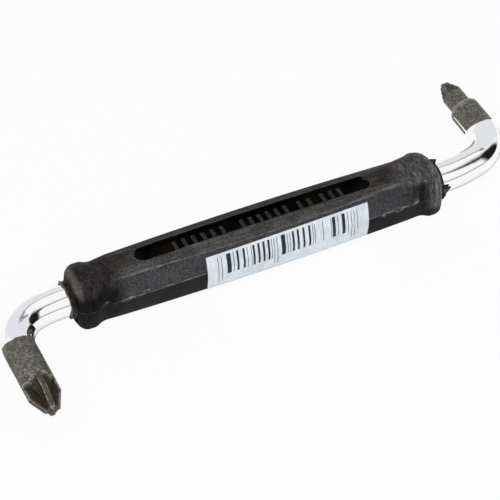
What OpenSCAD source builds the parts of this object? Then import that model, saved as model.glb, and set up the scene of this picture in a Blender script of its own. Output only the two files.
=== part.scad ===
// Offset screwdriver: one round steel bar, bent at both ends into opposite right angles,
// with a moulded grip round its middle and a paper label on the front of the grip.
// X runs along the grip, the blades point along -Y and +Y, and Z is up.
// The origin is under the middle of the whole length, on the plane that the collars rest on.

/* [Grip] */
// Length of the grip between the end faces of its collars
grip_l = 75; // [60:0.5:110]
// Height of the grip at its middle
grip_h = 11.2; // [10:0.1:15]
// Width of the grip at its middle, over the parting ridge
grip_w = 9.3; // [8.6:0.1:14]
// Width of the flat along the top and the bottom
flat_w = 3.9; // [3:0.1:5]
// Height of the sloping shoulder beside that flat
shoulder_h = 0.6; // [0.4:0.02:1.2]
// Width that the grip loses on each side between its ridge and its shoulder
side_lean = 0.86; // [0.7:0.01:1.3]
// Share of each half size that the grip loses between its middle and its necks
swell_share = 0.077; // [0.02:0.001:0.1]
// How far the collars stand out from the necks
flare = 0.6; // [0.3:0.05:1]
// Radius that rounds each collar over to its end face
collar_r = 2.2; // [1.8:0.1:2.6]
// Radius of the hollow between a neck and its collar
neck_r = 4; // [3:0.1:6]
// Length of the flat land round the crest of a collar
land_l = 0.8; // [0.5:0.1:1.5]

/* [Recess] */
// Length of the round-ended recess in the top of the grip
recess_l = 47.3; // [30:0.1:52]
// Width of the recess
recess_w = 3.5; // [2.5:0.1:3.6]
// Depth of the recess below the top flat at the middle
recess_d = 0.95; // [0.4:0.05:1.2]
// How far the recess sits towards the PZ2 end
recess_shift = 1; // [0:0.1:3]

/* [Lips] */
// Wall of the moulded lip round the bar at each end of the grip
lip_wall = 0.5; // [0.3:0.05:1]
// Length of the lip at the PZ2 end
lip_l_pz2 = 0.9; // [0.4:0.05:1.5]
// Length of the lip at the PZ1 end
lip_l_pz1 = 0.4; // [0.3:0.05:1.5]

/* [Bar] */
// Diameter of the bar
bar_d = 6; // [5.8:0.05:6.2]
// Distance from the middle of the grip to the axis of the PZ2 blade
reach_pz2 = 50; // [49.95:0.05:60]
// Distance from the middle of the grip to the axis of the PZ1 blade
reach_pz1 = 52.1; // [51:0.05:60]
// Distance from the bar's axis to the end of either blade
blade_reach = 23.4; // [22:0.1:40]
// Radius of the slow curve where the bar leaves the grip
slow_r = 28; // [20:0.5:32]
// Angle of the slow curve at the PZ2 end
slow_angle_pz2 = 10; // [6:0.5:11]
// Angle of the slow curve at the PZ1 end
slow_angle_pz1 = 12.5; // [8:0.5:13]
// Radius of the tight bend, on the axis of the bar
bend_r = 7.9; // [6:0.1:8]
// Length of the keying flats pressed on the bar inside the grip
key_l = 24; // [10:0.5:40]
// Depth of each keying flat
key_d = 0.5; // [0.2:0.05:0.8]

/* [PZ2 blade] */
// Diameter left at the end of the PZ2 blade
pz2_end_d = 2.9; // [2.4:0.05:3.2]
// Length of the cone of the PZ2 blade
pz2_cone_l = 3.6; // [3:0.1:4.5]
// Thickness of the four wings of the PZ2 blade
pz2_wing_t = 0.95; // [0.7:0.01:1.1]
// Distance from the axis to the floor of the PZ2 flutes near the end
pz2_core_r = 1.1; // [0.9:0.05:1.3]
// Radius of the scoop that cuts the PZ2 flutes
pz2_scoop_r = 8; // [6:0.1:10]
// Turn of the PZ2 wings about the axis of the blade
pz2_turn = 0; // [0:1:45]

/* [PZ1 blade] */
// Diameter of the stepped shank of the PZ1 blade
pz1_d = 4.3; // [4:0.05:5]
// Length of the stepped shank, wings and cone together
pz1_l = 8.3; // [7:0.1:12]
// Diameter left at the end of the PZ1 blade
pz1_end_d = 1.9; // [1.6:0.05:2.2]
// Length of the cone of the PZ1 blade
pz1_cone_l = 2.9; // [2.4:0.1:3.5]
// Thickness of the four wings of the PZ1 blade
pz1_wing_t = 0.72; // [0.5:0.01:0.8]
// Distance from the axis to the floor of the PZ1 flutes near the end
pz1_core_r = 0.75; // [0.6:0.05:0.9]
// Radius of the scoop that cuts the PZ1 flutes
pz1_scoop_r = 5.6; // [4:0.1:7]
// Turn of the PZ1 wings about the axis of the blade
pz1_turn = 45; // [0:1:45]

/* [Label] */
// Length of the label along the grip
label_l = 33.3; // [20:0.1:44]
// How far the middle of the label sits towards the PZ1 end
label_shift = 4.25; // [0:0.05:8]
// Height of the label's upper edge above the parting ridge
label_up = 3.4; // [2:0.1:4]
// Height of the label's lower edge below the parting ridge
label_down = 4.6; // [2:0.1:4.7]
// Thickness of the label
label_t = 0.1; // [0.06:0.01:0.3]

/* [Hidden] */
$fn = 96;

// Half sizes of the grip's section at its middle
half_h = grip_h / 2;
half_w = grip_w / 2;
edge_y = half_w - side_lean;
edge_z = half_h - shoulder_h;

// Each side is an arc from the parting ridge to that long edge, leaning a little at the ridge
ridge_angle = 4;
chord_l = norm([side_lean, edge_z]);
chord_angle = atan2(side_lean, edge_z);
side_r = chord_l / (2 * sin(chord_angle - ridge_angle));
side_y = half_w - side_r * cos(ridge_angle);
side_z = side_r * sin(ridge_angle);

// Steps in which each half of the grip's long swell is drawn
swell_steps = 6;
// Steps in each curved side, in the hollow of a collar and in its rounded end
side_steps = 6;
round_steps = 3;
end_steps = 6;
// The film of glue under the label
glue_t = 0.02;
// Steps in the slow curve and in the tight bend of an arm, and the sides round it
slow_steps = 3;
bend_steps = 14;
bar_sides = 48;
// How far the sides of an arm stand outside the true bar, and how far the bar runs into an arm
skin = 0.01;
lap = 0.2;

// Places along the grip, from its middle
end_x = grip_l / 2;
crest_x = end_x - collar_r;
land_x = crest_x - land_l;
blend_angle = acos(1 - flare / (collar_r + neck_r));
neck_x = land_x - (collar_r + neck_r) * sin(blend_angle);

// The grip rests on the crests of its collars
neck_half_h = half_h * (1 - swell_share);
rest_z = neck_half_h + flare;
floor_z = half_h - recess_d;

// The origin is under the middle of the whole length
middle_x = (reach_pz2 - reach_pz1) / 2;

// The bar
bar_r = bar_d / 2;
bar_x_pz2 = end_x + lip_l_pz2;
bar_x_pz1 = end_x + lip_l_pz1;

// Half of the section at the middle, as (Y, Z) from the top flat down the front to the ridge
side_start = asin(side_z / side_r);
side_sweep = asin((edge_z + side_z) / side_r) - side_start;
quarter = [
    [-flat_w / 2, half_h],
    for (i = [side_steps:-1:0]) let (a = side_start + side_sweep * i / side_steps)
        [-side_y - side_r * cos(a), side_r * sin(a) - side_z]
];
section = concat(
    [for (p = quarter) p],
    [for (i = [side_steps:-1:0]) [quarter[i].x, -quarter[i].y]],
    [for (i = [0:side_steps]) -quarter[i]],
    [for (i = [side_steps + 1:-1:0]) [-quarter[i].x, quarter[i].y]]
);

// Stations along one half, as (X, share kept of each half size, distance added all round)
neck_keep = 1 - swell_share;
half_stations = [
    for (i = [1:swell_steps]) let (u = i / swell_steps)
        [u * neck_x, 1 - swell_share * u * u, 0],
    for (i = [1:round_steps]) let (a = blend_angle * i / round_steps)
        [neck_x + neck_r * sin(a), neck_keep, neck_r * (1 - cos(a))],
    for (i = [round_steps - 1:-1:0]) let (a = blend_angle * i / round_steps)
        [land_x - collar_r * sin(a), neck_keep, flare - collar_r * (1 - cos(a))],
    for (i = [0:end_steps]) let (a = 90 * i / end_steps)
        [crest_x + collar_r * sin(a), neck_keep, flare - collar_r * (1 - cos(a))]
];
stations = concat(
    [for (i = [len(half_stations) - 1:-1:0]) [-half_stations[i][0], half_stations[i][1], half_stations[i][2]]],
    [[0, 1, 0]],
    half_stations
);

// A point of the section carried to a station, with its distance from the axis grown to suit
function grow(p, station, extra) = [
    station[0],
    p.x * (station[1] + (station[2] + extra) / half_w),
    p.y * (station[1] + (station[2] + extra) / half_h)
];

// A closed skin over rings of points that all have the same count
module ring_skin(rings) {
    n = len(rings[0]);
    last = len(rings) - 1;
    polyhedron(
        points = [for (ring = rings) each ring],
        faces = concat(
            [[for (i = [0:n - 1]) i]],
            [for (r = [0:last - 1], i = [0:n - 1])
                let (a = r * n + i, b = r * n + (i + 1) % n) [b, a, a + n, b + n]],
            [[for (i = [n - 1:-1:0]) last * n + i]]
        ));
}

module grip_body() {
    ring_skin([for (s = stations) [for (p = section) grow(p, s, 0)]]);
}

// A round-ended pocket, cut down to its flat floor
module recess() {
    straight = (recess_l - recess_w) / 2;
    translate([-recess_shift, 0, floor_z]) {
        for (side = [-1, 1]) translate([side * straight, 0, 0]) cylinder(d = recess_w, h = grip_h);
        translate([-straight, -recess_w / 2, 0]) cube([2 * straight, recess_w, grip_h]);
    }
}

// The straight middle of the bar, with two flats that stop it turning in the grip
module bar_core() {
    difference() {
        translate([-bar_x_pz2 - lap, 0, 0]) rotate([0, 90, 0])
            cylinder(r = bar_r, h = bar_x_pz2 + bar_x_pz1 + 2 * lap);
        for (side = [0, 1]) mirror([0, 0, side])
            translate([-key_l / 2, -bar_d, bar_r - key_d]) cube([key_l, 2 * bar_d, bar_d]);
    }
}

// The lip of the moulding round the bar, past the end face of a collar
module lip(length) {
    translate([crest_x, 0, 0]) rotate([0, 90, 0])
        cylinder(r = bar_r + lip_wall, h = end_x - crest_x + length);
}

module grip() {
    color("#2b2a2b") translate([middle_x, 0, rest_z]) difference() {
        union() {
            grip_body();
            lip(lip_l_pz1);
            mirror([1, 0, 0]) lip(lip_l_pz2);
        }
        recess();
        bar_core();
    }
}

// Straight run between the slow curve and the tight bend of an arm that leaves the grip at start
function run_between(start, angle, reach) =
    (reach - start - slow_r * sin(angle) - bend_r * (1 - sin(angle))) / cos(angle);

// Distance of the end of the tight bend from the axis of the grip
function bend_y(start, angle, reach) =
    slow_r * (1 - cos(angle)) + run_between(start, angle, reach) * sin(angle) + bend_r * cos(angle);

// Centre line of an arm as (X, Y, angle turned): the slow curve, then the tight bend
function arm_line(start, angle, reach) = concat(
    [for (i = [0:slow_steps]) let (a = angle * i / slow_steps)
        [start + slow_r * sin(a), slow_r * (1 - cos(a)), a]],
    [for (i = [0:bend_steps]) let (a = angle + (90 - angle) * i / bend_steps)
        [reach - bend_r * (1 - sin(a)), bend_y(start, angle, reach) - bend_r * cos(a), a]]
);

// One arm: its corners lie a hair outside the bar, so that the true cylinders join inside it
module arm(start, angle, reach) {
    corner_r = (bar_r + skin) / cos(180 / bar_sides);
    ring_skin([for (c = arm_line(start, angle, reach)) [for (k = [0:bar_sides - 1])
        let (t = 360 * k / bar_sides)
            [c[0] - corner_r * cos(t) * sin(c[2]), c[1] + corner_r * cos(t) * cos(c[2]), corner_r * sin(t)]]]);
}

// Angle between a flute's middle and the floor of each of its two scoops
scoop_angle = 35;
// Share of a flute's floor radius that the scoops' lowest line lies before the end of the blade
scoop_in_share = 0.45;

// The two scoops of one flute, kept clear of the wings beside it; they leave a low rib between them
module flute(d, l, wing_t, core_r, scoop_r) {
    low = l - core_r * scoop_in_share;
    intersection() {
        translate([wing_t / 2, wing_t / 2, low - scoop_r]) cube([d, d, 2 * scoop_r]);
        union() for (side = [-1, 1]) rotate([0, 0, 45 + side * scoop_angle])
            translate([core_r * cos(scoop_angle) + scoop_r, 0, low])
                rotate([90, 0, 0]) cylinder(r = scoop_r, h = 4 * d, center = true);
    }
}

// A cross-headed blade with four wings, from Z = 0 up to its blunt end
module cross_blade(d, l, end_d, cone_l, wing_t, core_r, scoop_r, turn) {
    rotate([0, 0, turn]) difference() {
        union() {
            cylinder(d = d, h = l - cone_l);
            translate([0, 0, l - cone_l]) cylinder(d1 = d, d2 = end_d, h = cone_l);
        }
        for (quarter = [0:3]) rotate([0, 0, 90 * quarter]) flute(d, l, wing_t, core_r, scoop_r);
    }
}

pz2_y = bend_y(bar_x_pz2, slow_angle_pz2, reach_pz2);
pz1_y = bend_y(bar_x_pz1, slow_angle_pz1, reach_pz1);
pz1_base_l = blade_reach - pz1_y - pz1_l;

module steel_bar() {
    color("#d9dcdf") translate([middle_x, 0, rest_z]) {
        bar_core();
        rotate([0, 0, 180]) {
            arm(bar_x_pz2, slow_angle_pz2, reach_pz2);
            translate([reach_pz2, pz2_y - lap, 0]) rotate([-90, 0, 0])
                cross_blade(bar_d, blade_reach - pz2_y + lap, pz2_end_d, pz2_cone_l,
                    pz2_wing_t, pz2_core_r, pz2_scoop_r, pz2_turn);
        }
        arm(bar_x_pz1, slow_angle_pz1, reach_pz1);
        translate([reach_pz1, pz1_y - lap, 0]) rotate([-90, 0, 0]) {
            cylinder(r = bar_r, h = pz1_base_l + lap);
            translate([0, 0, pz1_base_l + lap])
                cross_blade(pz1_d, pz1_l, pz1_end_d, pz1_cone_l,
                    pz1_wing_t, pz1_core_r, pz1_scoop_r, pz1_turn);
        }
    }
}

// Share kept of the grip's half sizes at a place on its long swell
function keep_at(x) = 1 - swell_share * pow(x / neck_x, 2);

// A point on the front side at a height, this far outside the surface of the grip
function front_at(x, z, extra) = let (keep = keep_at(x), a = asin((abs(z) / keep + side_z) / side_r))
    [x, -(side_y + side_r * cos(a)) * keep - extra, z];

// A thin skin over the front side of the grip, creased along the parting ridge
module barcode_label() {
    heights = [
        for (i = [0:side_steps]) -label_down * (1 - i / side_steps),
        for (i = [1:side_steps]) label_up * i / side_steps
    ];
    color("#cfd8e2") translate([middle_x, 0, rest_z]) ring_skin([
        for (i = [0:2 * swell_steps]) let (x = label_shift + label_l * (i / swell_steps - 1) / 2) concat(
            [for (z = heights) front_at(x, z, glue_t)],
            [for (j = [len(heights) - 1:-1:0]) front_at(x, heights[j], glue_t + label_t)])
    ]);
}

steel_bar();
grip();
barcode_label();
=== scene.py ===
import math
import random

import bmesh
import bpy
from mathutils import Matrix, Vector


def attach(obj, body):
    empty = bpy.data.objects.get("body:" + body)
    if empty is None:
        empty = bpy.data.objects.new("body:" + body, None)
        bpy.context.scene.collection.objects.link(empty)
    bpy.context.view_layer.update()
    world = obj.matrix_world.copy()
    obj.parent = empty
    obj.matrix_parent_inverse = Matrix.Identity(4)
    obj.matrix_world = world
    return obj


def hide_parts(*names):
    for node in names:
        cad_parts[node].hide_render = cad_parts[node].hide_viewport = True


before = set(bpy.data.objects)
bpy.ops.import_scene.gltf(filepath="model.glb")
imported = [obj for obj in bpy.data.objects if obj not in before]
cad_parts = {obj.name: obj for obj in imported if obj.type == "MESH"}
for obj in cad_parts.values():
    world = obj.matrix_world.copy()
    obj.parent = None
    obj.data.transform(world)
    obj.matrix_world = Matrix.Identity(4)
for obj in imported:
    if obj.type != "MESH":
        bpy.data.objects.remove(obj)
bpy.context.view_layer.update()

# Camera
# The view is from the front left and above, through a long lens. It is set out, in millimetres, from the
# middle of the grip, which lies on the bar's axis.
MM = 0.001
grip_middle = Vector((-1.05, 0, 5.7688)) * MM
view_azimuth = math.radians(-25.302)
view_elevation = math.radians(44.185)
view_distance, view_left, view_down = 400, 1.56, 2.353
towards_camera = Vector((
    math.sin(view_azimuth) * math.cos(view_elevation),
    -math.cos(view_azimuth) * math.cos(view_elevation),
    math.sin(view_elevation)))
view_right = Vector((math.cos(view_azimuth), math.sin(view_azimuth), 0))
view_up = towards_camera.cross(view_right)
camera_data = bpy.data.cameras.new("camera")
camera_data.sensor_width = 36
camera_data.lens = 156
camera_data.clip_start = 0.01
camera = bpy.data.objects.new("camera", camera_data)
from_grip = view_distance * towards_camera - view_left * view_right - view_down * view_up
camera.location = grip_middle + from_grip * MM
camera.rotation_euler = Matrix((view_right, view_up, towards_camera)).transposed().to_euler()
bpy.context.collection.objects.link(camera)
bpy.context.scene.camera = camera

# Grip
# One moulding in near-black plastic round the bar: flat top, sloping shoulders, slightly full sides that
# meet in a parting ridge, and a collar at each end. It lies on the flat lands round its collars.
half_height, half_width = 5.6, 4.65
top_flat = 1.95
long_edge = (3.79, 5.0)
ridge_lean = math.radians(4)
side_chord = math.hypot(half_width - long_edge[0], long_edge[1])
side_radius = side_chord / (2 * math.sin(math.atan2(half_width - long_edge[0], long_edge[1]) - ridge_lean))
side_centre = (half_width - side_radius * math.cos(ridge_lean), -side_radius * math.sin(ridge_lean))
swell = 0.077
collar_flare, collar_round, hollow_round = 0.6, 2.2, 4.0
grip_end = 37.5
crest_length = 0.8
crest_end = grip_end - collar_round
crest_start = crest_end - crest_length
blend_angle = math.acos(1 - collar_flare / (collar_round + hollow_round))
neck = crest_start - (collar_round + hollow_round) * math.sin(blend_angle)
flash_proud = 0.05


def smooth_faces(mesh, below=28):
    """Shades a mesh smooth, except over edges that bend by more than an angle in degrees."""
    mesh.shade_smooth()
    mesh.set_sharp_from_angle(angle=math.radians(below))


def set_in_place(bm, name, smooth_below=28):
    """A finished piece from a mesh drawn in millimetres about the grip's middle."""
    bmesh.ops.transform(bm, matrix=Matrix.Translation(grip_middle) @ Matrix.Scale(MM, 4), verts=bm.verts)
    bmesh.ops.recalc_face_normals(bm, faces=bm.faces)
    mesh = bpy.data.meshes.new(name)
    bm.to_mesh(mesh)
    bm.free()
    smooth_faces(mesh, smooth_below)
    piece = bpy.data.objects.new(name, mesh)
    bpy.context.collection.objects.link(piece)
    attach(piece, "root")
    return piece


def grow_edges(bm, edges):
    """Extrudes edges where they are, and gives the new edges and the new vertices."""
    grown = bmesh.ops.extrude_edge_only(bm, edges=edges)["geom"]
    new_edges = [g for g in grown if isinstance(g, bmesh.types.BMEdge)]
    new_verts = [g for g in grown if isinstance(g, bmesh.types.BMVert)]
    return new_edges, new_verts


def ease_edges(bm, edges, width, segments):
    """Bevels edges to a small round."""
    bmesh.ops.bevel(bm, geom=edges, offset=width, offset_type="OFFSET", segments=segments, profile=0.5,
                    affect="EDGES", clamp_overlap=True, material=-1)


def side_point(height):
    """How far the curved side stands out at a height above the parting ridge."""
    return side_centre[0] + math.sqrt(side_radius ** 2 - (height - side_centre[1]) ** 2)


def body_share(along):
    """How much of its full section the body keeps at a place along it, as it thins towards the necks."""
    return 1 - swell * (along / neck) ** 2


def station_scale(station):
    """How the full section is scaled at a station, along, across and up."""
    return Vector((1, station[1] + station[2] / half_width, station[1] + station[2] / half_height))


quarter = [(top_flat * 0.5, half_height), (top_flat, half_height), long_edge]
quarter += [(side_point(z), z) for z in (4.4, 3.8, 3.1, 2.4, 1.6, 0.9, 0.4, 0.14)]
section = quarter + [(half_width + flash_proud, 0)] + [(y, -z) for y, z in reversed(quarter)]
section += [(-y, z) for y, z in reversed(section)]

# A station is a place along the grip, its share of the full section, and how far it stands out beyond that
body_steps, blend_steps, end_steps = 12, 5, 8
stations = [(neck * i / body_steps, body_share(neck * i / body_steps), 0) for i in range(body_steps + 1)]
for i in range(1, blend_steps + 1):
    arc = blend_angle * i / blend_steps
    stations.append((neck + hollow_round * math.sin(arc), 1 - swell, hollow_round * (1 - math.cos(arc))))
collar_arcs = [(crest_start, -blend_angle * i / blend_steps) for i in range(blend_steps - 1, -1, -1)]
collar_arcs += [(crest_end, math.radians(90 * i / end_steps)) for i in range(end_steps + 1)]
for crest, arc in collar_arcs:
    stands_out = collar_flare - collar_round * (1 - math.cos(arc))
    stations.append((crest + collar_round * math.sin(arc), 1 - swell, stands_out))
stations = [(-x, share, stands_out) for x, share, stands_out in reversed(stations[1:])] + stations

bm = bmesh.new()
end_scale = station_scale(stations[0])
ring = [bm.verts.new((stations[0][0], y * end_scale[1], z * end_scale[2])) for y, z in section]
ring_edges = [bm.edges.new((ring[i - 1], ring[i])) for i in range(len(ring))]
bmesh.ops.contextual_create(bm, geom=ring_edges)
for before, after in zip(stations, stations[1:]):
    ring_edges, moved = grow_edges(bm, ring_edges)
    old, new = station_scale(before), station_scale(after)
    bmesh.ops.scale(bm, vec=(1, new[1] / old[1], new[2] / old[2]), verts=moved)
    bmesh.ops.translate(bm, vec=(after[0] - before[0], 0, 0), verts=moved)
bmesh.ops.contextual_create(bm, geom=ring_edges)

# The collars are rounder than the body: their corners are drawn in, the upper ones most. The right one
# was trimmed shorter, its end face leans back, and the hollow before it is shallower on top.
collar_from, collar_ease = 29.5, 4.5
corner_turn, corner_spread = 50, 22
upper_draw_in, lower_draw_in = 0.07, 0.015
filled_at, filled_share, filled_spread = 32.3, 0.1, 24
filled_inward, filled_outward = 1.3, 2.6
trimmed_by, end_lean = 0.6, 0.1
for v in bm.verts:
    corner = math.degrees(math.atan2(abs(v.co.z), abs(v.co.y))) - corner_turn
    share = min(max((abs(v.co.x) - collar_from) / collar_ease, 0), 1)
    draw_in = upper_draw_in if v.co.z > 0 else lower_draw_in
    keep = 1 - draw_in * share * share * (3 - 2 * share) * math.exp(-(corner / corner_spread) ** 2)
    if v.co.x > 0 and v.co.z > 0:
        from_hollow = (v.co.x - filled_at) / (filled_inward if v.co.x < filled_at else filled_outward)
        keep += filled_share * math.exp(-from_hollow ** 2 - (corner / filled_spread) ** 2)
    v.co.y *= keep
    v.co.z *= keep
    if v.co.x > 0:
        v.co.x -= share * (trimmed_by + end_lean * v.co.z)
bmesh.ops.recalc_face_normals(bm, faces=bm.faces)

# The edges that run along the grip are eased, but not the parting ridge
least_bend, above_ridge, edge_round = math.radians(14), 2, 0.22
long_edges = []
for edge in bm.edges:
    run = edge.verts[1].co - edge.verts[0].co
    runs_along = abs(run.x) > 0.7 * run.length and abs(edge.verts[0].co.z) > above_ridge
    if runs_along and len(edge.link_faces) == 2 and edge.calc_face_angle(0) > least_bend:
        long_edges.append(edge)
ease_edges(bm, long_edges, edge_round, 3)
grip = set_in_place(bm, "grip_moulding")
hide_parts("grip")

# Recess in the top of the grip
# A round-ended pocket with a flat floor, sunk by the same mould. On its floor stand plain raised ribs in
# four groups, moulded with the grip.
recess_length, recess_half_width, recess_depth = 47.3, 1.75, 0.95
recess_straight = recess_length / 2 - recess_half_width
recess_middle, recess_floor = -1.0, half_height - recess_depth
above_grip = 3
rib_size, rib_round = (0.8, 2.3, 0.36), 0.12


def cut_away(piece, cutter):
    """Takes the cutter's space out of a piece and deletes the cutter."""
    cut = piece.modifiers.new("cut", "BOOLEAN")
    cut.object = cutter
    cut.solver = "EXACT"
    bpy.context.view_layer.update()
    shown = piece.evaluated_get(bpy.context.evaluated_depsgraph_get())
    mesh = bpy.data.meshes.new_from_object(shown)
    piece.modifiers.clear()
    piece.data = mesh
    smooth_faces(mesh)
    bpy.data.objects.remove(cutter)


bm = bmesh.new()
bmesh.ops.create_circle(bm, cap_ends=True, cap_tris=False, segments=48, radius=recess_half_width)
for side in (-1, 1):
    half = [v for v in bm.verts if v.co.x * side > 1e-6]
    bmesh.ops.translate(bm, vec=(side * recess_straight, 0, 0), verts=half)
bmesh.ops.translate(bm, vec=(recess_middle, 0, recess_floor), verts=bm.verts)
raised = bmesh.ops.extrude_face_region(bm, geom=bm.faces[:])["geom"]
raised = [g for g in raised if isinstance(g, bmesh.types.BMVert)]
bmesh.ops.translate(bm, vec=(0, 0, above_grip), verts=raised)
cut_away(grip, set_in_place(bm, "recess_cutter"))

# Each group is the place of its first rib, how many it has, and how far apart they stand
bm = bmesh.new()
for first_rib, ribs, pitch in ((-16.7, 6, 1.9), (-3.2, 6, 1.75), (8.5, 2, 1.9), (13.2, 3, 1.75)):
    for i in range(ribs):
        rib = bmesh.ops.create_cube(bm, size=1)["verts"]
        bmesh.ops.scale(bm, vec=rib_size, verts=rib)
        bmesh.ops.translate(bm, vec=(first_rib + i * pitch, 0, recess_floor), verts=rib)
ease_edges(bm, bm.edges[:], rib_round, 2)
marks = set_in_place(bm, "grip_marks")

# Finish of the grip
# Satin near-black plastic with a fine grain: rubbed paler along its long edges, its parting ridge, its
# shoulders and the collar by the small blade. Painted light makes its upper sides, front shoulders and collar
# tops paler; painted shade darkens its lower sides, rear shoulders, collar undersides and the hollows behind
# the collars; and painted highlights lighten the rims of the end faces and the end of the collar by the small
# blade.


def new_material(name):
    """An empty material, its node tree and shader, and the place on the object in millimetres."""
    material = bpy.data.materials.new(name)
    material.use_nodes = True
    tree = material.node_tree
    place = tree.nodes.new("ShaderNodeTexCoord")
    in_mm = tree.nodes.new("ShaderNodeMapping")
    in_mm.inputs["Scale"].default_value = (1 / MM,) * 3
    in_mm.inputs["Location"].default_value = -grip_middle / MM
    tree.links.new(place.outputs["Object"], in_mm.inputs["Vector"])
    return material, tree, tree.nodes["Principled BSDF"], in_mm.outputs["Vector"]


def feed(tree, value, socket):
    """Gives a socket a number, a colour, or what another socket puts out."""
    if isinstance(value, (int, float)):
        socket.default_value = value
    elif isinstance(value, tuple):
        socket.default_value = value + (1,)
    else:
        tree.links.new(value, socket)


def maths(tree, operation, *values, clamp=False):
    """One Math node on numbers or sockets."""
    node = tree.nodes.new("ShaderNodeMath")
    node.operation = operation
    node.use_clamp = clamp
    for value, socket in zip(values, node.inputs):
        feed(tree, value, socket)
    return node.outputs[0]


def times(tree, first, *others):
    """The product of two or more values."""
    for other in others:
        first = maths(tree, "MULTIPLY", first, other)
    return first


def greatest(tree, first, *others):
    """The greatest of two or more values."""
    for other in others:
        first = maths(tree, "MAXIMUM", first, other)
    return first


def distance(tree, value, middle):
    """How far a value is from a middle, on either side of it."""
    return maths(tree, "ABSOLUTE", maths(tree, "SUBTRACT", value, middle))


def x_y_z(tree, place):
    """The three parts of a place."""
    node = tree.nodes.new("ShaderNodeSeparateXYZ")
    tree.links.new(place, node.inputs[0])
    return node.outputs


def noise(tree, place, scale, stretch=(1, 1, 1), detail=4, rough=0.55):
    """Cloudy noise about 1 / scale millimetres across, drawn out by stretch."""
    mapped = tree.nodes.new("ShaderNodeMapping")
    mapped.inputs["Scale"].default_value = tuple(scale / x for x in stretch)
    tree.links.new(place, mapped.inputs["Vector"])
    texture = tree.nodes.new("ShaderNodeTexNoise")
    texture.inputs["Scale"].default_value = 1
    texture.inputs["Detail"].default_value = detail
    texture.inputs["Roughness"].default_value = rough
    tree.links.new(mapped.outputs[0], texture.inputs["Vector"])
    return texture.outputs["Fac"]


def step_up(tree, value, low, high, out_low=0.0, out_high=1.0):
    """Eases a value from out_low to out_high between low and high."""
    node = tree.nodes.new("ShaderNodeMapRange")
    node.interpolation_type = "SMOOTHSTEP"
    tree.links.new(value, node.inputs["Value"])
    for name, number in zip(("From Min", "From Max", "To Min", "To Max"), (low, high, out_low, out_high)):
        node.inputs[name].default_value = number
    return node.outputs[0]


def blend(tree, share, first, second, how="MIX"):
    """Mixes two colours, each a tuple or a socket."""
    node = tree.nodes.new("ShaderNodeMix")
    node.data_type = "RGBA"
    node.blend_type = how
    feed(tree, share, node.inputs["Factor"])
    feed(tree, first, node.inputs[6])
    feed(tree, second, node.inputs[7])
    return node.outputs[2]


def bumped(tree, shader, height, strength, depth):
    """Raises the skin by a height from 0 to 1, to a depth in metres."""
    node = tree.nodes.new("ShaderNodeBump")
    node.inputs["Strength"].default_value = strength
    node.inputs["Distance"].default_value = depth
    tree.links.new(height, node.inputs["Height"])
    tree.links.new(node.outputs[0], shader.inputs["Normal"])


def build_grain_group():
    """Fine grain and slow clouds, both from 0 to 1, on a place given in millimetres."""
    group = bpy.data.node_groups.new("grain_and_clouds", "ShaderNodeTree")
    group.interface.new_socket("Place", in_out="INPUT", socket_type="NodeSocketVector")
    group.interface.new_socket("Grains per mm", in_out="INPUT", socket_type="NodeSocketFloat")
    group.interface.new_socket("Clouds per mm", in_out="INPUT", socket_type="NodeSocketFloat")
    group.interface.new_socket("Grain", in_out="OUTPUT", socket_type="NodeSocketFloat")
    group.interface.new_socket("Clouds", in_out="OUTPUT", socket_type="NodeSocketFloat")
    given, made = group.nodes.new("NodeGroupInput"), group.nodes.new("NodeGroupOutput")
    for count, result, detail, rough, low, high in (
            ("Grains per mm", "Grain", 6, 0.75, 0.32, 0.68),
            ("Clouds per mm", "Clouds", 3, 0.5, 0.35, 0.65)):
        texture = group.nodes.new("ShaderNodeTexNoise")
        texture.inputs["Detail"].default_value = detail
        texture.inputs["Roughness"].default_value = rough
        group.links.new(given.outputs["Place"], texture.inputs["Vector"])
        group.links.new(given.outputs[count], texture.inputs["Scale"])
        group.links.new(step_up(group, texture.outputs["Fac"], low, high), made.inputs[result])
    return group


grain_group = build_grain_group()


def grain_and_clouds(tree, place, grains, clouds):
    """The shared grain and clouds, at so many a millimetre."""
    node = tree.nodes.new("ShaderNodeGroup")
    node.node_tree = grain_group
    tree.links.new(place, node.inputs["Place"])
    node.inputs["Grains per mm"].default_value = grains
    node.inputs["Clouds per mm"].default_value = clouds
    return node.outputs["Grain"], node.outputs["Clouds"]


plastic, tree, shader, place = new_material("moulded_plastic")
along, across, height = x_y_z(tree, place)
# The section shrinks towards the necks, so the worn lines are found on the section at the middle
shrink = times(tree, maths(tree, "POWER", maths(tree, "DIVIDE", along, neck), 2), swell)
keep = maths(tree, "SUBTRACT", 1, maths(tree, "MINIMUM", shrink, swell))
level = maths(tree, "DIVIDE", height, keep)
up = maths(tree, "ABSOLUTE", level)
far = maths(tree, "ABSOLUTE", along)
grain, clouds = grain_and_clouds(tree, place, 2.4, 0.22)
scratches = noise(tree, place, 3.2, (16, 1, 1), detail=5, rough=0.7)
breaks = noise(tree, place, 1.3, (2.5, 1, 1), detail=6, rough=0.75)
on_body = step_up(tree, far, 27, 30.5, 1, 0)

# The worn line of the long edge dips a little in the middle
edge_left, edge_right = step_up(tree, along, -27, -6, 0.4, 0), step_up(tree, along, 4, 27, 4.6, 5.2)
over_edge = maths(tree, "SUBTRACT", up, maths(tree, "ADD", edge_right, edge_left))
on_shoulder = step_up(tree, over_edge, -0.05, 0.1)
edge_line = times(tree, step_up(tree, maths(tree, "ABSOLUTE", over_edge), 0.03, 0.18, 1, 0),
                  step_up(tree, breaks, 0.45, 0.68, 0.2, 0.9), on_body)
seam_line = times(tree, step_up(tree, up, 0.06, 0.2, 1, 0), step_up(tree, breaks, 0.42, 0.62, 0.15, 1),
                  step_up(tree, far, 29, 32, 1, 0.12))
rubbed = times(tree, step_up(tree, scratches, 0.5, 0.75), on_shoulder, on_body)
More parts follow.
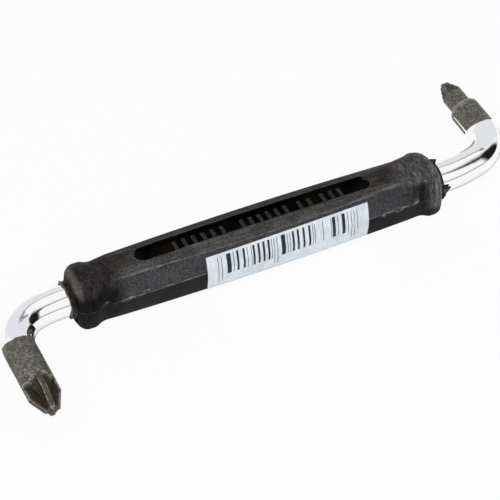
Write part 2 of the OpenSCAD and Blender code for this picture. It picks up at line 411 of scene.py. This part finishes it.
# Two scuffs beside the parting line, one near each end
scuffs = times(tree, step_up(tree, distance(tree, far, 27.5), 3.0, 6.0, 1, 0),
               step_up(tree, up, 0.3, 1.2, 1, 0), step_up(tree, breaks, 0.54, 0.64))
worn_lines = greatest(tree, seam_line, edge_line, scuffs)
wear = maths(tree, "ADD", times(tree, rubbed, 0.5), worn_lines, clamp=True)

# Painted shade darkens the sides below the parting ridge, a little less towards the large blade, and painted
# light makes them paler above it. The flat of the top is a little browner
shaded_low_side = blend(tree, clouds, (0.002, 0.0019, 0.0023), (0.0085, 0.0080, 0.0095))
shaded_low_side = blend(tree, 1, shaded_low_side, step_up(tree, along, -30, 0, 0.009, 0.001), "ADD")
lit_high_side = blend(tree, clouds, (0.036, 0.0365, 0.040), (0.050, 0.0505, 0.054))
side_light_and_shade = blend(tree, step_up(tree, level, -0.15, 0.15), shaded_low_side, lit_high_side)
from_middle = maths(tree, "DIVIDE", maths(tree, "ABSOLUTE", across), keep)
flat_colour = blend(tree, clouds, (0.023, 0.0165, 0.0135), (0.038, 0.036, 0.036))
# Painted light makes the front shoulder paler, and painted shade makes the rear shoulder darker
shoulder_light_and_shade = blend(tree, clouds, (0.042, 0.041, 0.041), (0.064, 0.063, 0.063))
shoulder_light_and_shade = blend(tree, step_up(tree, across, 1.5, 2.5), shoulder_light_and_shade, (0.026, 0.026, 0.0255))
shoulder_light_and_shade = blend(tree, step_up(tree, from_middle, 1.85, 2.05, 1, 0), shoulder_light_and_shade, flat_colour)
body_colour = blend(tree, on_shoulder, side_light_and_shade, shoulder_light_and_shade)

# The collar by the large blade is black, with painted light on its top and painted shade below it
smears = step_up(tree, noise(tree, place, 0.8, (0.5, 1, 3), detail=3, rough=0.55), 0.34, 0.7)
shaded_below_top = step_up(tree, level, 2.2, 4.2, 1, 0)
left_low = blend(tree, shaded_below_top, (0.012, 0.011, 0.011), (0.0015, 0.0015, 0.0015))
left_high = blend(tree, shaded_below_top, (0.034, 0.030, 0.029), (0.0085, 0.0085, 0.009))
# The collar by the small blade is palest at its end and on top, partly rubbed and partly painted highlight,
# and painted shade keeps its underside black
end_wear_and_highlight = times(tree, step_up(tree, along, 32.6, 35.6, 0.05, 1), step_up(tree, level, -4, -1))
end_wear_and_highlight = greatest(tree, end_wear_and_highlight, step_up(tree, level, 4.0, 5.2, 0, 0.55))
shaded_underneath = step_up(tree, level, -1.2, -0.3, 1, 0)
right_low = blend(tree, shaded_underneath, (0.020, 0.0135, 0.0115), (0.0025, 0.0025, 0.0025))
right_low = blend(tree, end_wear_and_highlight, right_low, (0.060, 0.060, 0.058))
right_high = blend(tree, shaded_underneath, (0.038, 0.040, 0.043), (0.009, 0.009, 0.009))
right_high = blend(tree, end_wear_and_highlight, right_high, (0.165, 0.164, 0.161))
right_end = step_up(tree, along, -5, 5)
collar_low = blend(tree, right_end, left_low, right_low)
collar_high = blend(tree, right_end, left_high, right_high)
collar_colour = blend(tree, smears, collar_low, collar_high)
# Painted shade darkens the hollow behind each collar, and painted highlights lighten the rims of the end
# faces
hollow = times(tree, step_up(tree, distance(tree, far, 32), 0.2, 1.3, 0.92, 0),
               step_up(tree, up, 3.4, 5.2, 1, 0))
collar_colour = blend(tree, hollow, collar_colour, (0.004, 0.004, 0.004))
from_bar = maths(tree, "ADD", maths(tree, "POWER", height, 2), maths(tree, "POWER", across, 2))
from_bar = maths(tree, "SQRT", from_bar)
end_rim_highlight = times(tree, step_up(tree, far, 35.7, 36.8), step_up(tree, from_bar, 4.3, 5.0),
                step_up(tree, level, 2.0, 4.5, 0.02, 0.5))
collar_colour = blend(tree, end_rim_highlight, collar_colour, (0.17, 0.145, 0.145))
leaning_end = maths(tree, "ADD", along, times(tree, height, end_lean))
right_rim_highlight = times(tree, step_up(tree, leaning_end, 36.2, 36.7), step_up(tree, level, -3, 0, 0, 0.7))
collar_colour = blend(tree, right_rim_highlight, collar_colour, (0.20, 0.195, 0.165))

grip_colour = blend(tree, on_body, collar_colour, body_colour)
speck = blend(tree, grain, (0.42, 0.42, 0.42), (1.72, 1.70, 1.69))
grip_colour = blend(tree, 1, grip_colour, speck, "MULTIPLY")
tree.links.new(blend(tree, wear, grip_colour, (0.23, 0.225, 0.22)), shader.inputs["Base Color"])
tree.links.new(step_up(tree, grain, 0, 1, 0.42, 0.62), shader.inputs["Roughness"])
shader.inputs["Specular IOR Level"].default_value = 0.07
bumped(tree, shader, grain, 0.4, 0.06 * MM)
grip.data.materials.clear()
grip.data.materials.append(plastic)

# Finish of the recess
# Its dull skin from the mould is nearly black, much darker than the top round it. Only the tops of its ribs
# are rubbed paler.
recess_skin, tree, shader, place = new_material("recess_skin")
across, height = x_y_z(tree, place)[1:]
grain, clouds = grain_and_clouds(tree, place, 2.4, 0.3)
rib_top = times(tree, step_up(tree, height, recess_floor + 0.06, recess_floor + 0.15),
                step_up(tree, maths(tree, "ABSOLUTE", across), 1.3, 1.5, 1, 0))
skin = blend(tree, clouds, (0.0004, 0.0003, 0.0002), (0.0045, 0.0038, 0.0028))
rubbed_top = blend(tree, grain, (0.018, 0.017, 0.015), (0.060, 0.056, 0.052))
tree.links.new(blend(tree, rib_top, skin, rubbed_top), shader.inputs["Base Color"])
tree.links.new(step_up(tree, grain, 0, 1, 0.6, 0.8), shader.inputs["Roughness"])
shader.inputs["Specular IOR Level"].default_value = 0.02
bumped(tree, shader, grain, 0.3, 0.05 * MM)
grip.data.materials.append(recess_skin)
marks.data.materials.append(recess_skin)
wall_slack, floor_slack, rim_slack = 0.01, 0.05, 0.06
for face in grip.data.polygons:
    middle = face.center / MM - grip_middle / MM
    in_width = abs(middle.y) < recess_half_width + wall_slack
    in_length = abs(middle.x - recess_middle) < recess_length / 2
    rim = half_height * body_share(middle.x) - rim_slack
    if in_width and in_length and recess_floor - floor_slack < middle.z < rim:
        face.material_index = 1

# Lips at the ends of the grip
# Where the mould closed on the bar, a thin lip of the plastic was squeezed out along it at each end. Its
# rim is torn, brown and paler than the skin, and a few burrs were left on it.
lip_radius, lip_hole, lip_root = 3.52, 3.03, 1.7
rim_taper, rim_round, rim_curl = 0.99, 0.93, 0.12
tear_aside_share, burr_ragged = 0.05, 0.05
dice = random.Random(7)


def circle_round_bar(bm, radius, sides, along):
    """The edges of a circle round the bar's axis, at a place along it."""
    upright = Matrix.Translation((along, 0, 0)) @ Matrix.Rotation(math.pi / 2, 4, "Y")
    made = bmesh.ops.create_circle(bm, cap_ends=False, segments=sides, radius=radius, matrix=upright)
    return list({e for v in made["verts"] for e in v.link_edges})


def build_lip(bm, hand, length, ragged):
    """One torn lip round the bar, past the end face of a collar."""
    waves = [(dice.uniform(0.4, 1), dice.uniform(0, 6.28), n) for n in (1, 2, 3, 5, 9)]
    first = circle_round_bar(bm, lip_radius, 96, hand * (grip_end - lip_root))
    edges = first
    # Each step is how far outwards it goes, how much it narrows and how torn it is; the last goes back inside
    for reach, scale, torn in (
            (lip_root + length * 0.6, 1, 0.5),
            (length * 0.4, rim_taper, 1),
            (rim_curl, rim_round, 1),
            (0, lip_hole / lip_radius / rim_round / rim_taper, 1),
            (-length - lip_root - rim_curl, 1, 0)):
        edges, moved = grow_edges(bm, edges)
        bmesh.ops.scale(bm, vec=(1, scale, scale), verts=moved)
        bmesh.ops.translate(bm, vec=(hand * reach, 0, 0), verts=moved)
        if reach > 0:
            for v in moved:
                turn = math.atan2(v.co.z, v.co.y)
                tear = sum(size * math.sin(n * turn + phase) for size, phase, n in waves) / len(waves)
                v.co.x += hand * tear * ragged * torn
                v.co.y *= 1 + tear * tear_aside_share * torn
                v.co.z *= 1 + tear * tear_aside_share * torn
    bmesh.ops.bridge_loops(bm, edges=edges + first)


def build_burr(bm, place, size, lean):
    """A pointed scrap of plastic on a lip, leaning from upright by an angle in degrees."""
    shape = Matrix.Rotation(math.radians(lean), 4, "Y") @ Matrix.Diagonal((*size, 1))
    made = bmesh.ops.create_cone(bm, cap_ends=True, cap_tris=False, segments=7, radius1=0.5, radius2=0.06,
                                 depth=1, matrix=Matrix.Translation(place) @ shape)
    for v in made["verts"]:
        v.co += Vector([dice.uniform(-burr_ragged, burr_ragged) for _ in range(3)])


bm = bmesh.new()
build_lip(bm, hand=-1, length=0.8, ragged=0.16)
build_lip(bm, hand=1, length=-0.45, ragged=0.12)
build_burr(bm, (37.9, -3.4, 0.1), (2.3, 0.9, 1.7), 72)
build_burr(bm, (37.4, -3.3, -1.4), (2.0, 0.9, 0.7), 92)
build_burr(bm, (37.3, 1.3, 3.5), (1.7, 2.2, 1.1), 60)
build_burr(bm, (-38.3, 2.55, 2.0), (0.6, 1.7, 0.45), -85)
build_burr(bm, (-38.0, -3.0, -1.6), (0.8, 0.7, 0.6), -90)
rim_from, rim_reach = grip_end + 0.7, lip_radius * 1.02
for face in bm.faces:
    middle = face.calc_center_median()
    on_rim = middle.x < -rim_from and math.hypot(middle.y, middle.z) < rim_reach
    face.material_index = 1 if on_rim else 0
lips = set_in_place(bm, "grip_lips", smooth_below=35)

lip_skin, tree, shader, place = new_material("lip_skin")
grain, clouds = grain_and_clouds(tree, place, 1.8, 0.6)
skin = blend(tree, times(tree, grain, clouds), (0.006, 0.0055, 0.005), (0.085, 0.078, 0.070))
# The burrs on the front are paler than the lips
pale_skin = blend(tree, grain, (0.016, 0.015, 0.014), (0.20, 0.195, 0.185))
on_burr = step_up(tree, x_y_z(tree, place)[1], -3.9, -3.55, 1, 0)
tree.links.new(blend(tree, on_burr, skin, pale_skin), shader.inputs["Base Color"])
tree.links.new(step_up(tree, clouds, 0, 1, 0.45, 0.6), shader.inputs["Roughness"])
shader.inputs["Specular IOR Level"].default_value = 0.1
bumped(tree, shader, grain, 0.5, 0.1 * MM)
lips.data.materials.append(lip_skin)

torn_rim, tree, shader, place = new_material("torn_rim")
grain, clouds = grain_and_clouds(tree, place, 1.8, 0.5)
brown = blend(tree, grain, (0.008, 0.006, 0.004), (0.13, 0.095, 0.052))
rim_colour = blend(tree, times(tree, clouds, grain), brown, (0.26, 0.22, 0.20))
tree.links.new(rim_colour, shader.inputs["Base Color"])
shader.inputs["Roughness"].default_value = 0.55
bumped(tree, shader, grain, 0.5, 0.1 * MM)
lips.data.materials.append(torn_rim)

# Bar
# One round steel bar, bent cold in two arms and plated. Both blades are forged on its ends, then left bare
# and blasted, so the plating stops just past each bend.
bar_radius, bar_sides = 3.0, 192
slow_radius, bend_radius = 28, 7.9
small_reach, large_reach = 52.1, 50
blade_reach = 23.4
scoop_lean, scoop_low_share = 10, 0.45
wing_ease, flute_ease = 0.12, 0.1
wing_top_depth, least_flute, wing_edge_width = 0.15, 0.2, 0.22
rim_highlight_width, rim_highlight_core_width = 0.25, 0.13
flutes_end, last_ring, flute_rings = 23.2, 23.3, 46
small_blade = dict(radius=2.15, end=0.95, cone=2.9, wing=0.72, core=0.75, scoop=5.6,
                   turn=math.radians(45), begins=15.12)
large_blade = dict(radius=3.0, end=1.45, cone=3.6, wing=0.95, core=1.1, scoop=10.5, turn=0.0, begins=12.0)


def soft_least(a, b, width):
    """The lesser of two lengths, eased where they are nearly equal."""
    nearness = max(width - abs(a - b), 0) / width
    return min(a, b) - nearness * nearness * width / 4


def cone_radius(from_end, blade):
    """Distance from a blade's axis to the tops of its wings, at a distance back from its end."""
    return blade["end"] + (blade["radius"] - blade["end"]) * min(from_end / blade["cone"], 1)


def blade_radius(angle, from_end, blade):
    """Distance from a blade's axis to its surface, at an angle and a distance back from its end."""
    outer = cone_radius(from_end, blade)
    dip = from_end - blade["core"] * scoop_low_share
    if abs(dip) >= blade["scoop"]:
        return outer
    # Two scoops cut each flute, one from beside either wing, and leave a low rib where they meet
    from_wing = (angle - blade["turn"]) % (math.pi / 2)
    floor = blade["core"] * math.cos(math.radians(45 - scoop_lean))
    floor = floor + blade["scoop"] - math.sqrt(blade["scoop"] ** 2 - dip ** 2)
    scoop = min(floor / math.cos(from_wing - math.radians(scoop_lean)),
                floor / math.cos(from_wing - math.radians(90 - scoop_lean)))
    wing = blade["wing"] / 2 / max(min(math.sin(from_wing), math.cos(from_wing)), 1e-4)
    inside = -soft_least(-wing, -scoop, flute_ease)
    return soft_least(outer, inside, wing_ease)


def mark_blade(v, marks, angle, from_end, surface, blade):
    """Notes on a vertex how deep it lies in a flute, and how near it is to the edge of a wing's top."""
    outer = cone_radius(from_end, blade)
    v[marks["flute_depth"]] = outer - surface
    from_wing = (angle - blade["turn"]) % (math.pi / 2)
    from_edge = abs(surface * min(math.sin(from_wing), math.cos(from_wing)) - blade["wing"] / 2)
    deepest = blade_radius(blade["turn"] + math.pi / 4, from_end, blade)
    if outer - surface < wing_top_depth and deepest < outer - least_flute:
        v[marks["wing_edge"]] = max(1 - from_edge / wing_edge_width, 0)


def build_arm(bm, start, slow_angle, reach, rings, blade, hand):
    """One half of the bar, from the middle of the grip to the end of its blade."""
    floats = bm.verts.layers.float
    marks = {name: floats.get(name) or floats.new(name) for name in ("flute_depth", "shoulder_rim_highlight", "wing_edge")}
    edges = circle_round_bar(bm, bar_radius, bar_sides, 0)

    def extrude(along):
        nonlocal edges
        edges, moved = grow_edges(bm, edges)
        bmesh.ops.translate(bm, vec=along, verts=moved)

    def spin(centre, angle, steps):
        nonlocal edges
        grown = bmesh.ops.spin(bm, geom=edges, cent=centre, axis=(0, 0, 1), angle=angle, steps=steps,
                               use_merge=False)["geom_last"]
        edges = [g for g in grown if isinstance(g, bmesh.types.BMEdge)]

    # A slow curve, a straight run and a tight bend bring the bar square to the grip
    slow_turn = math.radians(slow_angle)
    sine, cosine = math.sin(slow_turn), math.cos(slow_turn)
    run = (reach - start - slow_radius * sine - bend_radius * (1 - sine)) / cosine
    bend_end = slow_radius * (1 - cosine) + run * sine + bend_radius * cosine
    for _ in range(4):
        extrude((start / 4, 0, 0))
    spin((start, slow_radius, 0), slow_turn, 8)
    extrude((run * cosine, run * sine, 0))
    spin((reach - bend_radius, bend_end, 0), math.pi / 2 - slow_turn, 36)
    here = bend_end
    for ring_at in rings:
        if ring_at > here + 1e-4:
            extrude((0, ring_at - here, 0))
            here = ring_at
    bmesh.ops.contextual_create(bm, geom=edges)

    mine = [v for v in bm.verts if not v.tag]
    for v in mine:
        v.tag = True
        if v.co.y > bend_end + 1e-3 and v.co.x > reach - bar_radius * 1.5:
            angle = math.atan2(v.co.z, v.co.x - reach)
            from_end = blade_reach - v.co.y
            from_blade = blade["begins"] - v.co.y
            surface = blade_radius(angle, from_end, blade) if from_blade < 0 else bar_radius
            v.co.x, v.co.z = reach + surface * math.cos(angle), surface * math.sin(angle)
            if from_blade < 0:
                mark_blade(v, marks, angle, from_end, surface, blade)
            # Vertices just behind the small blade's shoulder are marked for its painted rim highlight
            elif blade["radius"] < bar_radius and from_blade < rim_highlight_width:
                v[marks["shoulder_rim_highlight"]] = 1.0 if from_blade < rim_highlight_core_width else 0.5
    if hand < 0:
        bmesh.ops.rotate(bm, cent=(0, 0, 0), matrix=Matrix.Rotation(math.pi, 3, "Z"), verts=mine)


def ring_places(shank_rings, flutes_start):
    """How far out the rings of a blade lie: those of its shank, and close ones along its flutes."""
    flutes = [flutes_start + (flutes_end - flutes_start) * i / flute_rings for i in range(1, flute_rings + 1)]
    return shank_rings + flutes + [last_ring, blade_reach]


# The small blade's rings lie close together round its shoulder
bm = bmesh.new()
shoulder_rings = [small_blade["begins"] + step for step in (-0.24, -0.12, -0.02, 0.06, 0.18)]
small_rings = ring_places([10, 12, 13, 14] + shoulder_rings, shoulder_rings[-1])
large_rings = ring_places([10, 12, 13, 14, 15], 15)
build_arm(bm, start=37.9, slow_angle=12.5, reach=small_reach, rings=small_rings, blade=small_blade, hand=1)
build_arm(bm, start=38.4, slow_angle=10, reach=large_reach, rings=large_rings, blade=large_blade, hand=-1)
bmesh.ops.remove_doubles(bm, verts=bm.verts, dist=0.001)
bar = set_in_place(bm, "bar_plated", smooth_below=30)
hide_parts("steel_bar")


def mix_values(tree, share, first, second):
    """Goes from one value to another as a share goes from 0 to 1."""
    node = tree.nodes.new("ShaderNodeMix")
    for value, socket in ((share, node.inputs[0]), (first, node.inputs[2]), (second, node.inputs[3])):
        feed(tree, value, socket)
    return node.outputs[0]


def vertex_mark(tree, name):
    """A value that the mesh keeps on its vertices."""
    node = tree.nodes.new("ShaderNodeAttribute")
    node.attribute_name = name
    return node.outputs["Fac"]


plating, tree, shader, place = new_material("plating_and_blasted_blades")
along, across, height = x_y_z(tree, place)
ragged = noise(tree, place, 1.2, detail=5)
wander = times(tree, maths(tree, "SUBTRACT", ragged, 0.5), 0.7)
# The plating ends 6.5 mm out on the large arm and 9.4 mm out on the small one, each slightly slanted
large_side = maths(tree, "LESS_THAN", along, 0)
large_end = maths(tree, "ADD", times(tree, height, 0.35), 6.5)
small_end = maths(tree, "ADD", times(tree, height, -0.45), 9.4)
# On the inner side of the small arm a strip of plating runs on up to the shoulder
inner = maths(tree, "ADD", times(tree, maths(tree, "SUBTRACT", small_reach, along), 0.916),
              times(tree, height, -0.402))
strip = times(tree, step_up(tree, inner, 2.57, 2.63, 0, 4.8), step_up(tree, inner, 2.72, 2.80, 1, 0))
small_end = maths(tree, "ADD", small_end, strip)
plating_end = maths(tree, "ADD", mix_values(tree, large_side, small_end, large_end), wander)
outwards = maths(tree, "ABSOLUTE", across)
bare = step_up(tree, maths(tree, "SUBTRACT", outwards, plating_end), -0.06, 0.06)

# The blasted steel is a speckled olive grey
fine, stain = grain_and_clouds(tree, place, 3.2, 0.5)
coarse = step_up(tree, noise(tree, place, 1.7, detail=3, rough=0.6), 0.38, 0.62)
blast = maths(tree, "ADD", times(tree, fine, 0.55), times(tree, coarse, 0.45))
steel = blend(tree, blast, (0.008, 0.008, 0.004), (0.31, 0.305, 0.262))
steel = blend(tree, times(tree, stain, 0.5), steel, (0.085, 0.072, 0.058))
# Deep in the flutes the steel is painted darker as shade, more on the large blade
flute_depth, wing_edge = vertex_mark(tree, "flute_depth"), vertex_mark(tree, "wing_edge")
flute_shade = times(tree, step_up(tree, flute_depth, 0.1, 0.6), step_up(tree, stain, 0.1, 0.6, 0.85, 1),
                   step_up(tree, along, -1, 1, 1, 0.6))
flute_shade_colour = blend(tree, stain, (0.006, 0.005, 0.004), (0.050, 0.030, 0.017))
steel = blend(tree, flute_shade, steel, flute_shade_colour)
# The narrow tops of the large blade's wings are dark between their bright edges
wing_top = times(tree, step_up(tree, flute_depth, 0.005, 0.02, 0.7, 0), step_up(tree, outwards, 16.2, 17.2),
                 large_side)
steel = blend(tree, wing_top, steel, (0.040, 0.037, 0.030))
# Painted highlights lighten the edges of the flutes and the rim of the small arm's shoulder
edge_highlight = times(tree, step_up(tree, flute_depth, 0.015, 0.035), step_up(tree, flute_depth, 0.06, 0.14, 1, 0))
edge_highlight = greatest(tree, edge_highlight, step_up(tree, wing_edge, 0.25, 0.8, 0, 0.9))
edge_highlight = times(tree, edge_highlight, step_up(tree, along, -1, 1, 1, 0.45),
                 step_up(tree, coarse, 0.2, 0.8, 0.25, 0.9))
steel = blend(tree, edge_highlight, steel, (0.34, 0.35, 0.34))
steel = blend(tree, times(tree, vertex_mark(tree, "shoulder_rim_highlight"), 0.85), steel, (0.44, 0.43, 0.40))

tree.links.new(blend(tree, bare, (0.95, 0.95, 0.955), steel), shader.inputs["Base Color"])
tree.links.new(maths(tree, "SUBTRACT", 1, times(tree, bare, 0.5)), shader.inputs["Metallic"])
tree.links.new(step_up(tree, bare, 0, 1, 0.06, 0.5), shader.inputs["Roughness"])
shader.inputs["Specular IOR Level"].default_value = 0.25
ripple = noise(tree, place, 0.35, detail=2)
bumped(tree, shader, mix_values(tree, bare, ripple, blast), 0.5, 0.08 * MM)
bar.data.materials.clear()
bar.data.materials.append(plating)

# Label
# Bluish-white paper stuck on the front of the grip and creased over its parting ridge, with plain bars
# that encode nothing, printed in black and pale grey.
label_start, label_end, label_top, label_bottom = -12.4, 20.55, 3.4, -4.6
paper_lift, paper_thickness = 0.02, 0.08
columns, rows_below, rows_above = 40, 12, 9
bars_top, bars_bottom, long_lines_bottom = 2.85, -2.0, -3.5
wide_bar, broad_bar, medium_bar, thin_bar = 0.85, 0.65, 0.42, 0.16
black_bars = [(x, wide_bar) for x in (-8.5, 2.5)] + [(x, broad_bar) for x in (13.0, 15.0)]
black_bars += [(x, medium_bar) for x in (-6.5, -5.25, -3.25, -2.25, -1.25, -0.25, 4.75, 5.75, 6.9, 8.1)]
long_lines = (-10.3, -9.6, 1.0, 1.6, 16.9, 17.5)
short_lines = (-7.2, -4.4, -3.6, 0.5, 3.7, 4.2, 8.9, 9.3, 11.0, 12.7, 14.1, 16.2, 18.1)
grey_bars = [(x, thin_bar) for x in long_lines + short_lines]


def front_surface(x, z, lift):
    """The front of the grip at a place along it and a height above the parting ridge."""
    keep = body_share(x)
    return Vector((x, -side_point(abs(z) / keep) * keep - lift, z))


def cut_line(bm, place, facing):
    """Cuts a line right across the paper."""
    bmesh.ops.bisect_plane(bm, geom=bm.verts[:] + bm.edges[:] + bm.faces[:], dist=1e-6,
                           plane_co=place, plane_no=facing)


bm = bmesh.new()
row_heights = [label_bottom - label_bottom * i / rows_below for i in range(rows_below + 1)]
row_heights += [label_top * i / rows_above for i in range(1, rows_above + 1)]
verts = [bm.verts.new(front_surface(label_start, z, 0)) for z in row_heights]
edges = [bm.edges.new((a, b)) for a, b in zip(verts, verts[1:])]
for _ in range(columns):
    edges, moved = grow_edges(bm, edges)
    bmesh.ops.translate(bm, vec=((label_end - label_start) / columns, 0, 0), verts=moved)
for start, width in black_bars + grey_bars:
    for x in (start, start + width):
        cut_line(bm, (x, 0, 0), (1, 0, 0))
for z in (bars_top, bars_bottom, long_lines_bottom):
    cut_line(bm, (0, 0, z), (0, 0, 1))
for face in bm.faces:
    middle = face.calc_center_median()
    for index, bars in ((1, black_bars), (2, grey_bars)):
        for start, width in bars:
            lowest = long_lines_bottom if start in long_lines else bars_bottom
            if start < middle.x < start + width and lowest < middle.z < bars_top:
                face.material_index = index
# It was stuck on slightly askew: raised most at its right end, with its bars leaning a little
raised_at_left, tilt, bottom_ease = 0.12, 0.0175, 2.2
bar_lean, lean_from = 0.044, 0.5
for v in bm.verts:
    x, z = v.co.x, v.co.z
    raise_by = (raised_at_left + tilt * (x - label_start)) * min((z - label_bottom) / bottom_ease, 1)
    v.co = front_surface(x - bar_lean * (z - lean_from), z + raise_by, paper_lift + paper_thickness)
bmesh.ops.recalc_face_normals(bm, faces=bm.faces)
if sum(f.normal.y for f in bm.faces) > 0:
    bmesh.ops.reverse_faces(bm, faces=bm.faces)
bmesh.ops.solidify(bm, geom=bm.faces[:], thickness=paper_thickness)
label = set_in_place(bm, "paper_label", smooth_below=20)
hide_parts("barcode_label")

# The paper and both inks are mottled alike, and all are a little darker along the crease
for name, colour, rough in (
        ("paper", (0.71, 0.77, 0.84), 0.55),
        ("black_ink", (0.018, 0.020, 0.024), 0.5),
        ("grey_ink", (0.19, 0.21, 0.25), 0.5)):
    material, tree, shader, place = new_material(name)
    height = x_y_z(tree, place)[2]
    fibre, blotch = grain_and_clouds(tree, place, 3.0, 0.4)
    streaks = step_up(tree, noise(tree, place, 3.0, (1, 1, 9), detail=4, rough=0.7), 0.4, 0.6)
    mottle = maths(tree, "ADD", maths(tree, "ADD", fibre, blotch), streaks)
    darker = tuple(c * 0.76 for c in colour)
    paler = tuple(min(c * 1.14, 1) for c in colour)
    creased = tuple(c * 0.5 for c in colour)
    mottled = blend(tree, times(tree, mottle, 1 / 3), darker, paler)
    crease = times(tree, step_up(tree, maths(tree, "ABSOLUTE", height), 0.03, 0.14, 0.3, 0), fibre)
    tree.links.new(blend(tree, crease, mottled, creased), shader.inputs["Base Color"])
    shader.inputs["Specular IOR Level"].default_value = 0.2
    shader.inputs["Roughness"].default_value = rough
    bumped(tree, shader, fibre, 0.2, 0.04 * MM)
    label.data.materials.append(material)

# Floor
# A plain white table. What the camera and the reflections see of it is nearly all its own even white, and
# the rest is lit, so that the object keeps a faint shadow.
floor_mesh = bpy.data.meshes.new("floor")
bm = bmesh.new()
bmesh.ops.create_grid(bm, x_segments=1, y_segments=1, size=3)
bm.to_mesh(floor_mesh)
bm.free()
floor = bpy.data.objects.new("floor", floor_mesh)
bpy.context.collection.objects.link(floor)
paint = bpy.data.materials.new("white_table")
paint.use_nodes = True
tree = paint.node_tree
tree.nodes.clear()
lit_white = tree.nodes.new("ShaderNodeBsdfDiffuse")
lit_white.inputs["Color"].default_value = (0.9, 0.9, 0.9, 1)
own_white = tree.nodes.new("ShaderNodeEmission")
path = tree.nodes.new("ShaderNodeLightPath")
in_reflection = path.outputs["Is Glossy Ray"]
surface = tree.nodes.new("ShaderNodeMixShader")
out = tree.nodes.new("ShaderNodeOutputMaterial")
own_share = times(tree, greatest(tree, path.outputs["Is Camera Ray"], in_reflection), 0.93)
tree.links.new(own_share, surface.inputs[0])
tree.links.new(lit_white.outputs[0], surface.inputs[1])
tree.links.new(own_white.outputs[0], surface.inputs[2])
tree.links.new(surface.outputs[0], out.inputs["Surface"])

# The dark line of contact shade under each arm of the bar, which only reflections show
arm_from, arm_curve, shade_aside = 39 * MM, 56 * MM, 1.4 * MM
ground = tree.nodes.new("ShaderNodeTexCoord")
along, across = x_y_z(tree, ground.outputs["Object"])[:2]
far = maths(tree, "ABSOLUTE", along)
past_grip = greatest(tree, maths(tree, "SUBTRACT", far, arm_from), 0)
arm_aside = times(tree, maths(tree, "POWER", past_grip, 2), maths(tree, "SIGN", along), 1 / arm_curve)
from_arm = distance(tree, maths(tree, "SUBTRACT", across, arm_aside), shade_aside)
shade = greatest(tree, step_up(tree, from_arm, 1.8 * MM, 4.0 * MM, 0.9, 0),
                 step_up(tree, from_arm, 1.5 * MM, 9 * MM, 0.27, 0))
shade = times(tree, shade, in_reflection, step_up(tree, far, 60 * MM, 70 * MM, 1, 0))
tree.links.new(maths(tree, "SUBTRACT", 1, shade), own_white.inputs["Strength"])
floor_mesh.materials.append(paint)

# Room
# What the plated steel shows of the room: white overhead and in front, pale grey walls behind and to the
# right, and to the right of the camera a dark doorway with a dark gap running up from its corner.
world = bpy.data.worlds.new("studio")
bpy.context.scene.world = world
world.use_nodes = True
tree = world.node_tree
place = tree.nodes.new("ShaderNodeTexCoord")
right, back, above = x_y_z(tree, place.outputs["Generated"])
turn = times(tree, maths(tree, "ARCTAN2", right, back), 180 / math.pi)
climb = times(tree, maths(tree, "ARCSINE", above), 180 / math.pi)


def cubed_share(value, middle, half):
    """How far a value is from a middle, as a share of a half width, cubed."""
    return maths(tree, "POWER", maths(tree, "DIVIDE", distance(tree, value, middle), half), 3)


# Turns and climbs are in degrees, counted from straight behind the object and from the level
walls = times(tree, step_up(tree, climb, 48, 52, 1, 0), step_up(tree, distance(tree, turn, 22), 46, 62, 1, 0))
wall_top = times(tree, step_up(tree, distance(tree, climb, 50.5), 0.5, 3.5, 0.7, 0),
                 step_up(tree, distance(tree, turn, 45), 25, 32, 1, 0))
door = maths(tree, "ADD", cubed_share(turn, 104, 24), cubed_share(climb, 21, 36))
door = step_up(tree, maths(tree, "POWER", door, 1 / 3), 0.6, 1.15, 0.99, 0)
gap_climb = maths(tree, "ADD", times(tree, maths(tree, "SUBTRACT", turn, 112), 0.66), 39)
gap_half = step_up(tree, turn, 106, 136, 25, 9.5)
gap = step_up(tree, maths(tree, "DIVIDE", distance(tree, climb, gap_climb), gap_half), 0.25, 1, 0.97, 0)
gap = times(tree, gap, step_up(tree, turn, 92, 106), step_up(tree, turn, 112, 155, 1, 0.55))
skirting = times(tree, step_up(tree, distance(tree, climb, 3.5), 1.5, 7, 0.6, 0),
                 step_up(tree, distance(tree, turn, 140), 26, 34, 1, 0))
room = blend(tree, walls, (0.97, 0.97, 0.97), (0.775, 0.79, 0.82))
room = blend(tree, greatest(tree, door, gap, wall_top, skirting), room, (0.002, 0.003, 0.004))
# Only reflections see the room. Other light from it is an even grey, and the camera sees plain white.
path = tree.nodes.new("ShaderNodeLightPath")
room = blend(tree, path.outputs["Is Glossy Ray"], (0.45, 0.45, 0.45), room)
room = blend(tree, path.outputs["Is Camera Ray"], room, (1.0, 1.0, 1.0))
tree.links.new(room, tree.nodes["Background"].inputs["Color"])

# Lamp
# One soft square lamp in front of the object and above it. The rest of the light comes evenly from the
# room.
lamp_data = bpy.data.lights.new("lamp_front", "AREA")
lamp_data.shape = "SQUARE"
lamp_data.size = 0.6
lamp_data.energy = 7
lamp = bpy.data.objects.new("lamp_front", lamp_data)
lamp.location = (-0.35, -0.7, 0.7)
lamp.rotation_euler = (-lamp.location).to_track_quat("-Z", "Y").to_euler()
bpy.context.collection.objects.link(lamp)

bpy.context.scene.view_settings.view_transform = "Standard"
